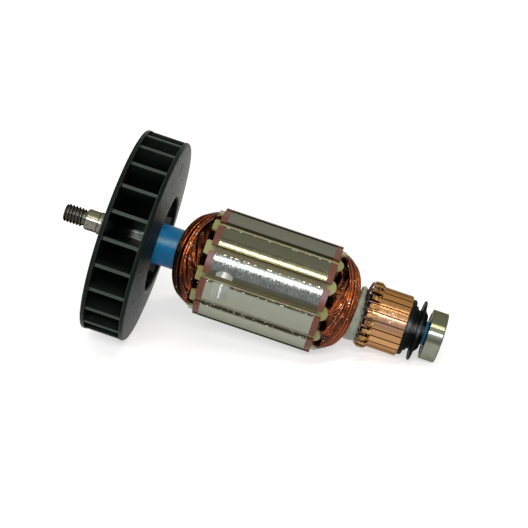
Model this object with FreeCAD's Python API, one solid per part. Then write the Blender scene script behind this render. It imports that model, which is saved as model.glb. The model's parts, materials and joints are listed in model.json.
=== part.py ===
import FreeCAD, Part
import math
import os

# Motor armature, in millimetres. Each piece is built along a vertical shaft line whose zero
# is the threaded tip. The finished armature is then laid on its fan rim and its bearing.

V = FreeCAD.Vector
AXIS = V(0, 0, 1)
ZERO = V(0, 0, 0)

# Share of its radius by which a quarter round stands off the corner at its middle
ROUND_MIDDLE = 1 - math.sqrt(0.5)

# Counts
slot_count = 12
coil_count = 12
coil_span = 5
bar_count = 24
vane_count = 24
ball_count = 7
knurl_count = 22

# Turned positions about the shaft, in degrees
slot_phase = 13.3
vane_phase = 3.5
bar_phase = 11.7
balance_phase = 257.8
fan_slit_phase = 168.2

# Shaft
thread_radius = 3.5
thread_pitch = 1.25
thread_depth = 0.6
thread_crest = 0.15
thread_root = 0.2
thread_overcut = 0.09
thread_length = 7.3
tip_chamfer = 0.6
neck_radius = 2.85
neck_length = 1.1
pinion_seat_radius = 4.0
pinion_seat_length = 4.8
seat_chamfer = 0.4
groove_depth = 0.25
groove_length = 0.4
shaft_radius = 4.25
shaft_before_fan = 6.6
knurl_height = 0.22
tail_radius = 3.5
tail_lead_in = 1.7
shaft_proud = 0.6

# Moulded shaft insulation
collar_wall = 3.55
collar_chamfer = 0.5
tube_wall = 1.75
tail_tube_wall = 1.0
tail_tube_bare = 1.2

# Fan
fan_radius = 39.0
disc_thickness = 1.5
disc_round = 0.5
fan_hub_wall = 4.75
fan_hub_length = 6.0
hub_to_collar = 6.8
vane_height = 13.6
vane_thickness = 1.2
vane_recess = 0.2
vane_bite = 0.5
vane_from_eye = 0.8
vane_root_radius = 13.5
rim_thickness = 1.45
rim_round = 1.3
eye_radius = 18.5
eye_rise = 1.65
eye_lip_width = 1.0
shroud_thickness = 1.4
fan_slit_length = 5.0
fan_slit_width = 0.8
fan_slit_depth = 0.7
fan_slit_radius = 30.3
fan_to_head = 25.0

# Core
core_radius = 20.8
core_length = 41.0
plate_thickness = 2.4
plate_recess = 0.1
tooth_width = 4.1
mouth_width = 2.5
lip_thickness = 1.6
wedge_thickness = 0.8
slot_depth = 6.4
liner_thickness = 0.25
liner_proud = 0.8
wedge_proud = 2.1
wedge_side_gap = 0.1
wedge_corner = 0.5
wedge_nose = 2.0
balance_length = 6.3
balance_offset = 5.75
balance_depth = 1.0
balance_wheel_radius = 60.0
balance_crown = 0.35

# Coils and their winding heads
inner_layer_depth = 3.7
riser_length = 3.0
leg_proud = 1.0
head_clearance = 0.4
head_margin = 0.1
crown_first = 3.4
drive_crown = 12.3
far_crown = 11.2
dome_bulge = 0.12
head_spacing = 0.4
head_overrun = 10.0
foot_width = 4.6
band_foot_width = 3.0

# Commutator
head_to_bars = 4.2
bar_length = 15.2
bar_radius = 11.64
bar_depth = 2.84
bar_chamfer = 0.35
mica_thickness = 0.5
mica_undercut = 0.6
hook_length = 3.9
hook_width = 1.7
hook_rise = 1.11
hook_strip = 0.42
hook_throat = 2.4
hook_root = 0.3
hook_bend = 0.3
body_lead_in = 0.4
end_ring_step = 1.04
end_ring_length = 1.8
end_ring_chamfer = 0.5

# Lead wires and neck band
lead_radius = 0.3
lead_clearance = 0.25
lead_hidden = 4.7
lead_twist = 14.5
lead_straight = 0.5
lead_bend = 0.3
lead_past_band = 0.35
lead_corner_turn = 1.5
lead_end_turn = 1.5
band_gap = 0.3
neck_band_length = 1.6
neck_band_thickness = 0.8

# Dust ring
dust_ring_length = 5.3
dust_ring_radius = 11.5
dust_flange_centre = 3.1
dust_flange_half = 0.5
dust_flange_root = 0.6
dust_body_radius = 8.6
dust_body_length = 0.9
dust_groove_depth = 1.1
dust_groove_end = 2.2
dust_nose_wall = 2.0

# Ball bearing
bearing_width = 6.0
bearing_radius = 9.5
bearing_round = 0.4
race_chamfer = 0.2
race_shoulder = 1.35
ball_radius = 1.75
ball_clearance = 0.03
cage_thickness = 0.8
cage_back = 1.0
cage_front = 2.1
pocket_clearance = 0.05
shield_thickness = 0.3
shield_inset = 0.3
shield_gap = 0.3
shield_seat = 0.25

# Radii that follow
tube_radius = shaft_radius + tube_wall
collar_radius = shaft_radius + collar_wall
tail_tube_radius = tail_radius + tail_tube_wall
fan_hub_radius = shaft_radius + fan_hub_wall
lip_floor = core_radius - lip_thickness
wedge_floor = lip_floor - wedge_thickness
slot_floor = wedge_floor - slot_depth
layer_split = slot_floor + liner_thickness + inner_layer_depth
shell_inner_radius = collar_radius + head_clearance
shell_base_inner = slot_floor + liner_thickness + head_margin
shell_base_outer = wedge_floor - head_margin
bar_inner_radius = bar_radius - bar_depth
hook_radius = bar_radius + hook_rise
end_ring_radius = bar_radius - end_ring_step
lead_neck_radius = shell_inner_radius - 2 * lead_clearance - lead_radius
ball_circle_radius = (bearing_radius + tail_radius) / 2
inner_race_radius = ball_circle_radius - race_shoulder
outer_race_inner = ball_circle_radius + race_shoulder
shield_inner_radius = inner_race_radius + shield_gap
shield_outer_radius = outer_race_inner + shield_seat

# Heights that follow, from the threaded tip to the far end of the shaft
neck_end = thread_length + neck_length
pinion_seat_end = neck_end + pinion_seat_length
groove_end = pinion_seat_end + groove_length
fan_start = groove_end + shaft_before_fan
disc_face = fan_start + disc_thickness
knurl_start = fan_start + fan_hub_length
collar_start = knurl_start + hub_to_collar
shroud_start = disc_face + vane_height
shroud_face = shroud_start + rim_thickness
eye_face = shroud_face + eye_rise
plate_face = fan_start + fan_to_head + drive_crown
core_start = plate_face + plate_thickness
core_end = core_start + core_length
far_face = core_end + plate_thickness
band_start = far_face + far_crown + band_gap
bars_start = far_face + far_crown + head_to_bars
bars_end = bars_start + bar_length
hook_end = bars_start + hook_length
body_start = bars_start - body_lead_in
body_end = bars_end + end_ring_length
tail_start = bars_start + tail_lead_in
dust_ring_end = body_end + dust_ring_length
bearing_start = dust_ring_end + tail_tube_bare
bearing_end = bearing_start + bearing_width
bearing_middle = bearing_start + bearing_width / 2
shaft_end = bearing_end + shaft_proud

# Pitches and the widths that they leave
slot_pitch = 360.0 / slot_count
bar_pitch = 360.0 / bar_count
head_chord = 2 * shell_base_inner * math.sin(math.radians(slot_pitch / 2))
band_width = head_chord - head_spacing
band_mid_radius = shell_inner_radius + band_width / 2 - head_margin
vane_inner_radius = eye_radius + vane_from_eye


def profile_face(start, path):
    """Closed face in the half plane through the shaft line. Points are radius and height.

    Each item of the path is an end point, or a middle point and an end point for an arc."""
    edges = []
    here = V(start[0], 0, start[1])
    for item in path + [start]:
        if isinstance(item[0], tuple):
            middle = V(item[0][0], 0, item[0][1])
            there = V(item[1][0], 0, item[1][1])
            edges.append(Part.Arc(here, middle, there).toShape())
        else:
            there = V(item[0], 0, item[1])
            edges.append(Part.LineSegment(here, there).toShape())
        here = there
    return Part.Face(Part.Wire(edges))


def turned(start, path):
    """Solid of revolution about the shaft line."""
    return profile_face(start, path).revolve(ZERO, AXIS, 360)


def cylinder(radius, low, high):
    return Part.makeCylinder(radius, high - low, V(0, 0, low))


def plain_ring(inner, outer, low, high):
    return turned((inner, low), [(outer, low), (outer, high), (inner, high)])


def spun(shape, degrees):
    """Copy of a shape turned about the shaft line."""
    copy = shape.copy()
    copy.rotate(ZERO, AXIS, degrees)
    return copy


def pattern(shape, count, phase):
    """Equally spaced copies about the shaft line."""
    return [spun(shape, phase + 360.0 * i / count) for i in range(count)]


def polar(radius, degrees, height=0.0):
    angle = math.radians(degrees)
    return V(radius * math.cos(angle), radius * math.sin(angle), height)


def flat_prism(points, low, high):
    """Prism between two heights on a closed outline of plan points."""
    corners = [V(x, y, low) for x, y in points]
    outline = Part.makePolygon(corners + corners[:1])
    return Part.Face(outline).extrude(V(0, 0, high - low))


def joined(shapes):
    """One solid from touching or crossing solids."""
    return shapes[0].multiFuse(shapes[1:]).removeSplitter()


# Shaft


def shaft_blank():
    """Shaft from the end of the thread to its far end."""
    path = [
        (neck_radius, thread_length),
        (neck_radius, neck_end),
        (pinion_seat_radius - seat_chamfer, neck_end),
        (pinion_seat_radius, neck_end + seat_chamfer),
        (pinion_seat_radius, pinion_seat_end),
        (pinion_seat_radius - groove_depth, pinion_seat_end),
        (pinion_seat_radius - groove_depth, groove_end),
        (shaft_radius, groove_end),
        (shaft_radius, tail_start),
        (tail_radius, tail_start),
        (tail_radius, shaft_end - seat_chamfer),
        (tail_radius - seat_chamfer, shaft_end),
        (0.0, shaft_end),
    ]
    return turned((0.0, thread_length), path)


def thread_groove(low, turns):
    """Helical V groove that leaves the crests of the drive-end thread."""
    helix = Part.makeHelix(thread_pitch, turns * thread_pitch, thread_radius)
    helix.translate(V(0, 0, low))
    mouth = (thread_pitch - thread_crest) / 2
    root = thread_root / 2
    corners = [
        V(thread_radius - thread_depth, 0, low - root),
        V(thread_radius + thread_overcut, 0, low - mouth),
        V(thread_radius + thread_overcut, 0, low + mouth),
        V(thread_radius - thread_depth, 0, low + root),
    ]
    outline = Part.makePolygon(corners + corners[:1])
    return Part.Wire(helix).makePipeShell([outline], True, True)


def threaded_tip():
    """Threaded end, cut from a longer rod so that the groove runs out at both ends."""
    margin = 2 * thread_pitch
    turns = math.ceil(thread_length / thread_pitch) + 3
    rod = cylinder(thread_radius, -2 * margin, thread_length + 2 * margin)
    rod = rod.cut(thread_groove(-margin, turns))
    side = 2 * thread_radius + margin
    length = Part.makeBox(side, side, thread_length, V(-side / 2, -side / 2, 0))
    chamfer = turned(
        (thread_radius - 2 * tip_chamfer, -tip_chamfer),
        [(thread_radius + tip_chamfer, -tip_chamfer), (thread_radius + tip_chamfer, 2 * tip_chamfer)],
    )
    return rod.common(length).cut(chamfer)


def knurl():
    """Straight knurl on the length of shaft seen inside the fan."""
    step = 360.0 / knurl_count
    points = []
    for i in range(knurl_count):
        for share, height in ((0, 0), (1 / 3, knurl_height), (2 / 3, knurl_height)):
            point = polar(shaft_radius + height, step * (i + share))
            points.append((point.x, point.y))
    return flat_prism(points, knurl_start, collar_start)


def make_shaft():
    return joined([shaft_blank(), threaded_tip(), knurl()])


def make_shaft_insulation():
    start = (shaft_radius, collar_start)
    path = [
        (collar_radius - collar_chamfer, collar_start),
        (collar_radius, collar_start + collar_chamfer),
        (collar_radius, plate_face),
        (tube_radius, plate_face),
        (tube_radius, body_start),
        (tail_tube_radius, body_start),
        (tail_tube_radius, bearing_start),
        (tail_radius, bearing_start),
        (tail_radius, tail_start),
        (shaft_radius, tail_start),
    ]
    return turned(start, path)


# Fan


def fan_back():
    """Back disc with its rounded rim and the hub pressed on the shaft."""
    near = ROUND_MIDDLE * disc_round
    start = (shaft_radius, fan_start)
    path = [
        (fan_radius - disc_round, fan_start),
        ((fan_radius - near, fan_start + near), (fan_radius, fan_start + disc_round)),
        (fan_radius, disc_face),
        (fan_hub_radius, disc_face),
        (fan_hub_radius, knurl_start),
        (shaft_radius, knurl_start),
    ]
    return turned(start, path)


def shroud_height(radius):
    """Outer height of the coned shroud at a radius."""
    cone_width = fan_radius - rim_round - eye_radius - eye_lip_width
    return shroud_face + eye_rise * (fan_radius - rim_round - radius) / cone_width


def fan_shroud():
    """Coned front ring from the rim to the raised lip of the eye."""
    rim_near = ROUND_MIDDLE * rim_round
    lip_near = ROUND_MIDDLE * eye_lip_width
    start = (fan_radius, shroud_start)
    path = [
        (fan_radius, shroud_face - rim_round),
        ((fan_radius - rim_near, shroud_face - rim_near), (fan_radius - rim_round, shroud_face)),
        (eye_radius + eye_lip_width, eye_face),
        ((eye_radius + lip_near, eye_face - lip_near), (eye_radius, eye_face - eye_lip_width)),
        (eye_radius, shroud_height(eye_radius) - shroud_thickness),
        (fan_radius - rim_round, shroud_start),
    ]
    return turned(start, path)


def fan_vane():
    """Radial vane with a sloped inner edge that bites into the disc and the shroud."""
    foot = disc_face - vane_bite
    outer = fan_radius - vane_recess
    inner_top = shroud_height(vane_inner_radius) - shroud_thickness + vane_bite
    corners = [
        V(vane_root_radius, 0, foot),
        V(outer, 0, foot),
        V(outer, 0, shroud_start + vane_bite),
        V(vane_inner_radius, 0, inner_top),
    ]
    outline = Part.makePolygon(corners + corners[:1])
    vane = Part.Face(outline).extrude(V(0, vane_thickness, 0))
    vane.translate(V(0, -vane_thickness / 2, 0))
    return vane


def fan_slit():
    """Shallow radial slit milled in the shroud for balance."""
    slit = Part.makeBox(fan_slit_length, fan_slit_width, 2 * fan_slit_depth)
    low = shroud_height(fan_slit_radius) - fan_slit_depth
    slit.translate(V(fan_slit_radius - fan_slit_length / 2, -fan_slit_width / 2, low))
    return spun(slit, fan_slit_phase)


def make_fan():
    vanes = pattern(fan_vane(), vane_count, vane_phase)
    return joined([fan_back(), fan_shroud()] + vanes).cut(fan_slit())


# Core and slot parts


def slot_half_width(depth):
    """Half width of a slot between parallel-sided teeth at a distance from the shaft line."""
    tilt = math.radians(slot_pitch / 2)
    return depth * math.tan(tilt) - tooth_width / (2 * math.cos(tilt))


def slot_side(radius):
    """One side of a slot, from the mouth down to the floor, as distance and half width."""
    mouth = mouth_width / 2
    pocket = slot_half_width(wedge_floor)
    return [
        (math.sqrt(radius ** 2 - mouth ** 2), mouth),
        (lip_floor, mouth),
        (lip_floor, pocket),
        (wedge_floor, pocket),
        (slot_floor, slot_half_width(slot_floor)),
    ]


def star_face(radius):
    """Lamination outline with its open slots."""
    edges = []
    side = slot_side(radius)
    for i in range(slot_count):
        turn = slot_pitch * i
        ahead = [V(d, -w, 0) for d, w in side]
        back = [V(d, w, 0) for d, w in reversed(side)]
        corners = ahead + back
        for first, second in zip(corners, corners[1:]):
            line = Part.LineSegment(first, second).toShape()
            edges.append(spun(line, turn))
        leave = math.degrees(math.atan2(side[0][1], side[0][0]))
        arc = Part.Arc(
            polar(radius, turn + leave),
            polar(radius, turn + slot_pitch / 2),
            polar(radius, turn + slot_pitch - leave),
        )
        edges.append(arc.toShape())
    return Part.Face(Part.Wire(edges))


def star_block(radius, low, high):
    """Block of the lamination outline with the bore for the insulating tube."""
    face = star_face(radius)
    face.translate(V(0, 0, low))
    block = face.extrude(V(0, 0, high - low))
    return spun(block.cut(cylinder(tube_radius, low - 1, high + 1)), slot_phase)


def balance_cut():
    """Crowned wheel that mills the balance flat near the drive end of the core."""
    half = balance_length / 2
    middle = core_start + balance_offset
    edge = balance_wheel_radius - balance_crown
    start = (0.0, middle - half)
    path = [
        (edge, middle - half),
        ((balance_wheel_radius, middle), (edge, middle + half)),
        (0.0, middle + half),
    ]
    wheel = turned(start, path)
    wheel.translate(V(core_radius + balance_wheel_radius - balance_depth, 0, 0))
    return spun(wheel, balance_phase)


def make_lamination_stack():
    block = star_block(core_radius, core_start, core_end)
    return block.cut(balance_cut())


def make_end_plate(low):
    return star_block(core_radius - plate_recess, low, low + plate_thickness)


def make_slot_liners():
    """Folded liners, each lining the floor and the two sides of one slot."""
    skew = liner_thickness / math.cos(math.radians(slot_pitch / 2))
    floor = slot_floor + liner_thickness
    outer_top = slot_half_width(wedge_floor)
    outer_floor = slot_half_width(slot_floor)
    points = [
        (wedge_floor, -outer_top),
        (slot_floor, -outer_floor),
        (slot_floor, outer_floor),
        (wedge_floor, outer_top),
        (wedge_floor, outer_top - skew),
        (floor, slot_half_width(floor) - skew),
        (floor, skew - slot_half_width(floor)),
        (wedge_floor, skew - outer_top),
    ]
    liner = flat_prism(points, plate_face - liner_proud, far_face + liner_proud)
    return Part.makeCompound(pattern(liner, slot_count, slot_phase))


def make_slot_wedges():
    """Flat wedges with square drive ends and rounded far ends."""
    half = slot_half_width(wedge_floor) - wedge_side_gap
    low = plate_face - wedge_proud
    high = far_face + wedge_proud
    inset = half - wedge_corner
    ledge = low + wedge_corner
    shoulder = high - wedge_nose
    outline = [
        Part.LineSegment(V(0, -inset, low), V(0, inset, low)),
        Part.LineSegment(V(0, inset, low), V(0, half, ledge)),
        Part.LineSegment(V(0, half, ledge), V(0, half, shoulder)),
        Part.Arc(V(0, half, shoulder), V(0, 0, high), V(0, -half, shoulder)),
        Part.LineSegment(V(0, -half, shoulder), V(0, -half, ledge)),
        Part.LineSegment(V(0, -half, ledge), V(0, -inset, low)),
    ]
    face = Part.Face(Part.Wire([edge.toShape() for edge in outline]))
    wedge = face.extrude(V(wedge_thickness, 0, 0))
    wedge.translate(V(wedge_floor, 0, 0))
    return Part.makeCompound(pattern(wedge, slot_count, slot_phase))


# Coils. Order 0 is wound first and lies deepest, order 5 lies outermost.


def coil_half_width(depth):
    return slot_half_width(depth) - liner_thickness / math.cos(math.radians(slot_pitch / 2))


def leg_section(outer_layer):
    """Low and high distance of a coil side in its slot."""
    if outer_layer:
        return layer_split, wedge_floor
    return slot_floor + liner_thickness, layer_split


def shell_radius(order):
    share = (shell_base_outer - shell_base_inner) / (coil_count / 2)
    return shell_base_inner + share * order


def end_height(far_end, reach):
    """Height of a point that stands a reach beyond the end plate."""
    if far_end:
        return far_face + reach
    return plate_face - reach


def dome_line(order, crown):
    """Start, middle and end of the dome surface below an order, as radius and reach."""
    first = (shell_radius(order), riser_length)
    rise = (crown - crown_first) * order / (coil_count / 2)
    last = (shell_inner_radius, crown_first + rise)
    run_r = last[0] - first[0]
    run_z = last[1] - first[1]
    middle = (
        (first[0] + last[0]) / 2 + dome_bulge * run_z,
        (first[1] + last[1]) / 2 - dome_bulge * run_r,
    )
    return first, middle, last


def dome_shell(order, far_end):
    """Shell of the winding head between two nested dome surfaces."""
    crown = far_crown if far_end else drive_crown
    lower = dome_line(order, crown)
    upper = dome_line(order + 1, crown)
    lower = [(r, end_height(far_end, reach)) for r, reach in lower]
    upper = [(r, end_height(far_end, reach)) for r, reach in upper]
    path = [
        (lower[1], lower[2]),
        upper[2],
        (upper[1], upper[0]),
    ]
    return turned(lower[0], path)


def ray_to_circle(degrees, centre_y, radius):
    """Point where a ray from the shaft line meets a circle centred on the Y axis."""
    along = centre_y * math.sin(math.radians(degrees))
    reach = along + math.sqrt(along ** 2 - centre_y ** 2 + radius ** 2)
    return polar(reach, degrees)


def edge_circle(point, top):
    """Circle centred on the Y axis, through a point and a height on the axis: centre, radius."""
    gain = point.x ** 2 + point.y ** 2 - top ** 2
    centre_y = gain / (2 * (point.y - top))
    return centre_y, top - centre_y


def head_band(order, low, high):
    """Curved band in plan that carries one coil head round the shaft, narrower at its feet."""
    mid = (shell_radius(order) + shell_radius(order + 1)) / 2
    half_span = coil_span * slot_pitch / 2
    foot = polar(mid, 90 - half_span)
    outward = foot - V(0, edge_circle(foot, band_mid_radius)[0], 0)
    outward.normalize()
    first = 90 - half_span - head_overrun
    last = 90 + half_span + head_overrun
    arcs = []
    for side in (-1, 1):
        top = band_mid_radius + side * band_width / 2
        centre_y, radius = edge_circle(foot + outward * (side * band_foot_width / 2), top)
        ends = [ray_to_circle(angle, centre_y, radius) for angle in (first, last)]
        arcs.append((ends[0], V(0, top, 0), ends[1]))
    inner, outer = arcs
    edges = [
        Part.LineSegment(inner[0], outer[0]),
        Part.Arc(outer[0], outer[1], outer[2]),
        Part.LineSegment(outer[2], inner[2]),
        Part.Arc(inner[2], inner[1], inner[0]),
    ]
    face = Part.Face(Part.Wire([edge.toShape() for edge in edges]))
    face.translate(V(0, 0, low))
    return spun(face.extrude(V(0, 0, high - low)), half_span - 90)


def coil_foot(order, outer_layer, far_end):
    """Tapered run from a coil side in its slot to the shell of its head."""
    low, high = leg_section(outer_layer)
    start = end_height(far_end, leg_proud)
    end = end_height(far_end, riser_length)
    first = [
        V(low, -coil_half_width(low), start),
        V(high, -coil_half_width(high), start),
        V(high, coil_half_width(high), start),
        V(low, coil_half_width(low), start),
    ]
    half = foot_width / 2
    base = shell_radius(order)
    top = shell_radius(order + 1)
    second = [V(base, -half, end), V(top, -half, end), V(top, half, end), V(base, half, end)]
    wires = [Part.makePolygon(points + points[:1]) for points in (first, second)]
    return Part.makeLoft(wires, True, True)


def coil_leg(outer_layer):
    low, high = leg_section(outer_layer)
    points = [
        (low, -coil_half_width(low)),
        (high, -coil_half_width(high)),
        (high, coil_half_width(high)),
        (low, coil_half_width(low)),
    ]
    return flat_prism(points, plate_face - leg_proud, far_face + leg_proud)


def make_coil(order):
    """One coil: two sides in slots five apart and a head at each end of the core."""
    last_order = coil_count // 2 - 1
    layers = (order == last_order, order != 0)
    pieces = []
    for turn, outer_layer in zip((0, coil_span * slot_pitch), layers):
        pieces.append(spun(coil_leg(outer_layer), turn))
        for far_end in (False, True):
            pieces.append(spun(coil_foot(order, outer_layer, far_end), turn))
    for far_end in (False, True):
        shell = dome_shell(order, far_end)
        band = head_band(order, shell.BoundBox.ZMin - 1, shell.BoundBox.ZMax + 1)
        pieces.append(shell.common(band))
    return spun(joined(pieces), slot_phase + slot_pitch * order)


# Commutator


def bar_outline(inner, outer):
    """Plan of one bar, whose sides are parallel to the mica on each side of it."""
    half = mica_thickness / 2
    spread = bar_pitch / 2
    out = spread - math.degrees(math.asin(half / outer))
    back = spread - math.degrees(math.asin(half / inner))
    edges = [
        Part.Arc(polar(outer, -out), polar(outer, 0), polar(outer, out)).toShape(),
        Part.LineSegment(polar(outer, out), polar(inner, back)).toShape(),
        Part.Arc(polar(inner, back), polar(inner, 0), polar(inner, -back)).toShape(),
        Part.LineSegment(polar(inner, -back), polar(outer, -out)).toShape(),
    ]
    return Part.Face(Part.Wire(edges))


def hook():
    """Hook folded back over the lead wire and staked to its bar."""
    under = hook_radius - hook_strip
    sunk = bar_radius - hook_root
    stem = bars_start + hook_strip
    tip = stem + hook_throat
    corners = [
        (sunk, bars_start),
        (hook_radius - hook_bend, bars_start),
        (hook_radius, bars_start + hook_bend),
        (hook_radius, tip),
        (bar_radius + hook_bend, hook_end),
        (sunk, hook_end),
        (sunk, tip),
        (under - hook_bend, tip),
        (under, tip - hook_bend),
        (under, stem),
        (sunk, stem),
    ]
    points = [V(r, -hook_width / 2, z) for r, z in corners]
    outline = Part.makePolygon(points + points[:1])
    return Part.Face(outline).extrude(V(0, hook_width, 0))


def make_commutator_bars():
    face = bar_outline(bar_inner_radius, bar_radius)
    face.translate(V(0, 0, bars_start))
    bar = face.extrude(V(0, 0, bars_end - bars_start))
    rim = bar_radius - bar_chamfer
    envelope = turned(
        (0.0, bars_start),
        [(bar_radius, bars_start), (bar_radius, bars_end - bar_chamfer), (rim, bars_end), (0.0, bars_end)],
    )
    segment = joined([bar.common(envelope), hook()])
    return Part.makeCompound(pattern(segment, bar_count, bar_phase))


def make_mica_strips():
    depth = bar_radius - mica_undercut - bar_inner_radius
    strip = Part.makeBox(depth, mica_thickness, bars_end - bars_start)
    strip.translate(V(bar_inner_radius, -mica_thickness / 2, bars_start))
    return Part.makeCompound(pattern(strip, bar_count, bar_phase + bar_pitch / 2))


def make_commutator_body():
    """Moulded hub of the commutator with the black ring at its far end."""
    path = [
        (bar_inner_radius, body_start),
        (bar_inner_radius, bars_end),
        (end_ring_radius, bars_end),
        (end_ring_radius, body_end - end_ring_chamfer),
        (end_ring_radius - end_ring_chamfer, body_end),
        (tail_tube_radius, body_end),
    ]
    return turned((tail_tube_radius, body_start), path)


# Lead wires and the band round them


def lead_wire():
    """Lead from inside the winding head, out between two hooks and into a hook's throat."""
    throat = (bar_radius + hook_radius - hook_strip) / 2
    gap = -bar_pitch / 2
    entry = bars_start + hook_strip + hook_throat / 2
    points = [
        polar(lead_neck_radius, gap - lead_twist, band_start - lead_hidden),
        polar(lead_neck_radius, gap, band_start - lead_straight),
        polar(lead_neck_radius, gap, band_start + neck_band_length + lead_past_band),
        polar(throat - lead_bend, gap, body_start - lead_bend),
        polar(throat, gap, body_start),
        polar(throat, gap, entry - lead_bend),
        polar(throat, gap + lead_corner_turn, entry),
        polar(throat, lead_end_turn, entry),
    ]
    along = points[1] - points[0]
    ring = Part.Wire(Part.makeCircle(lead_radius, points[0], along))
    return Part.makePolygon(points).makePipeShell([ring], True, True, 1)


def make_lead_wires():
    return Part.makeCompound(pattern(lead_wire(), bar_count, bar_phase))


def make_neck_band():
    inner = lead_neck_radius + lead_radius + lead_clearance
    outer = inner + neck_band_thickness
    return plain_ring(inner, outer, band_start, band_start + neck_band_length)


def make_dust_ring():
    """Rubber ring with a groove, a thin raised flange and a tapered nose."""
    low = body_end
    rim = low + dust_flange_centre
    tip = dust_ring_radius - dust_flange_half
    groove = dust_body_radius - dust_groove_depth
    path = [
        (dust_body_radius, low),
        (dust_body_radius, low + dust_body_length),
        (groove, low + dust_body_length + dust_flange_half),
        (groove, low + dust_groove_end),
        (dust_body_radius, rim - dust_flange_root),
        (tip, rim - dust_flange_half),
        ((dust_ring_radius, rim), (tip, rim + dust_flange_half)),
        (dust_body_radius, rim + dust_flange_root),
        (tail_tube_radius + dust_nose_wall, dust_ring_end),
        (tail_tube_radius, dust_ring_end),
    ]
    return turned((tail_tube_radius, low), path)


# Ball bearing


def make_bearing_inner_race():
    low = bearing_start
    high = bearing_end
    r = inner_race_radius
    edge = race_chamfer
    ring = turned(
        (tail_radius, low),
        [(r - edge, low), (r, low + edge), (r, high - edge), (r - edge, high), (tail_radius, high)],
    )
    return ring.cut(ball_track())


def ball_track():
    """Ring-shaped track that both races share."""
    track = ball_radius + ball_clearance
    return Part.makeTorus(ball_circle_radius, track, V(0, 0, bearing_middle), AXIS)


def make_bearing_outer_race():
    """Outer race with rounded outer corners and a step at each face for its shield."""
    low = bearing_start
    high = bearing_end
    r = bearing_radius
    soft = bearing_round
    near = ROUND_MIDDLE * bearing_round
    step = shield_inset + shield_thickness
    path = [
        (r - soft, low),
        ((r - near, low + near), (r, low + soft)),
        (r, high - soft),
        ((r - near, high - near), (r - soft, high)),
        (shield_outer_radius, high),
        (shield_outer_radius, high - step),
        (outer_race_inner, high - step),
        (outer_race_inner, low + step),
        (shield_outer_radius, low + step),
    ]
    return turned((shield_outer_radius, low), path).cut(ball_track())


def make_bearing_balls():
    ball = Part.makeSphere(ball_radius, V(ball_circle_radius, 0, bearing_middle))
    return Part.makeCompound(pattern(ball, ball_count, 0.0))


def make_bearing_cage():
    """Crown cage: a thin ring with one round pocket for each ball."""
    inner = ball_circle_radius - cage_thickness / 2
    outer = ball_circle_radius + cage_thickness / 2
    ring = plain_ring(inner, outer, bearing_middle - cage_back, bearing_middle + cage_front)
    pocket = Part.makeSphere(ball_radius + pocket_clearance, V(ball_circle_radius, 0, bearing_middle))
    return ring.cut(pattern(pocket, ball_count, 0.0))


def make_bearing_shield(low):
    return plain_ring(shield_inner_radius, shield_outer_radius, low, low + shield_thickness)


# Lying pose. The rim of the fan and the far corner of the bearing both touch the ground.


def resting_placement(shapes):
    rim_height = shroud_face - rim_round
    rim_radius = fan_radius - rim_round
    end_height_at = bearing_end - bearing_round
    end_radius = bearing_radius - bearing_round
    run = end_height_at - rim_height
    fall = rim_radius - end_radius
    round_gap = rim_round - bearing_round
    tilt = math.atan2(fall, run) + math.asin(round_gap / math.hypot(run, fall))
    lay = FreeCAD.Rotation(V(0, 1, 0), 90 + math.degrees(tilt))
    turned_only = FreeCAD.Placement(ZERO, lay)
    lift = rim_radius * math.cos(tilt) + rim_round + rim_height * math.sin(tilt)
    group = Part.makeCompound([shape.copy() for shape in shapes])
    group.Placement = turned_only
    box = group.optimalBoundingBox(False, False)
    middle = (box.XMin + box.XMax) / 2
    return FreeCAD.Placement(V(-middle, 0, lift), lay), math.degrees(tilt)


def make_all():
    nodes = {
        "shaft": make_shaft(),
        "shaft_insulation": make_shaft_insulation(),
        "fan": make_fan(),
        "lamination_stack": make_lamination_stack(),
        "end_plate_drive": make_end_plate(plate_face),
        "end_plate_far": make_end_plate(core_end),
        "slot_liners": make_slot_liners(),
        "slot_wedges": make_slot_wedges(),
    }
    half_count = coil_count // 2
    for order in range(half_count):
        coil = make_coil(order)
        nodes["coil_%02d" % (order + 1)] = coil
        nodes["coil_%02d" % (order + 1 + half_count)] = spun(coil, 180)
    nodes["commutator_bars"] = make_commutator_bars()
    nodes["mica_strips"] = make_mica_strips()
    nodes["commutator_body"] = make_commutator_body()
    nodes["lead_wires"] = make_lead_wires()
    nodes["neck_band"] = make_neck_band()
    nodes["dust_ring"] = make_dust_ring()
    nodes["bearing_inner_race"] = make_bearing_inner_race()
    nodes["bearing_outer_race"] = make_bearing_outer_race()
    nodes["bearing_balls"] = make_bearing_balls()
    nodes["bearing_cage"] = make_bearing_cage()
    near_shield = bearing_start + shield_inset
    far_shield = bearing_end - shield_inset - shield_thickness
    nodes["bearing_shield_near"] = make_bearing_shield(near_shield)
    nodes["bearing_shield_far"] = make_bearing_shield(far_shield)
    return nodes


nodes = make_all()
placement, tilt = resting_placement([nodes["shaft"], nodes["bearing_outer_race"], nodes["fan"]])
os.makedirs("parts", exist_ok=True)
for name, shape in nodes.items():
    shape.Placement = placement.multiply(shape.Placement)
    shape.exportStep("parts/" + name + ".step")
    valid = "valid" if shape.isValid() else "NOT VALID"
    print(name, valid, len(shape.Solids), "solids", round(shape.Volume, 2), "mm3")
print("tilt", round(tilt, 4), "degrees, placed at", placement.Base)
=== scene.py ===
import json
import math
import random

import bmesh
import bpy
from bpy.props import FloatProperty, FloatVectorProperty, IntProperty, PointerProperty
from bpy.types import Operator, Panel, PropertyGroup
from mathutils import Matrix, Vector


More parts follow.
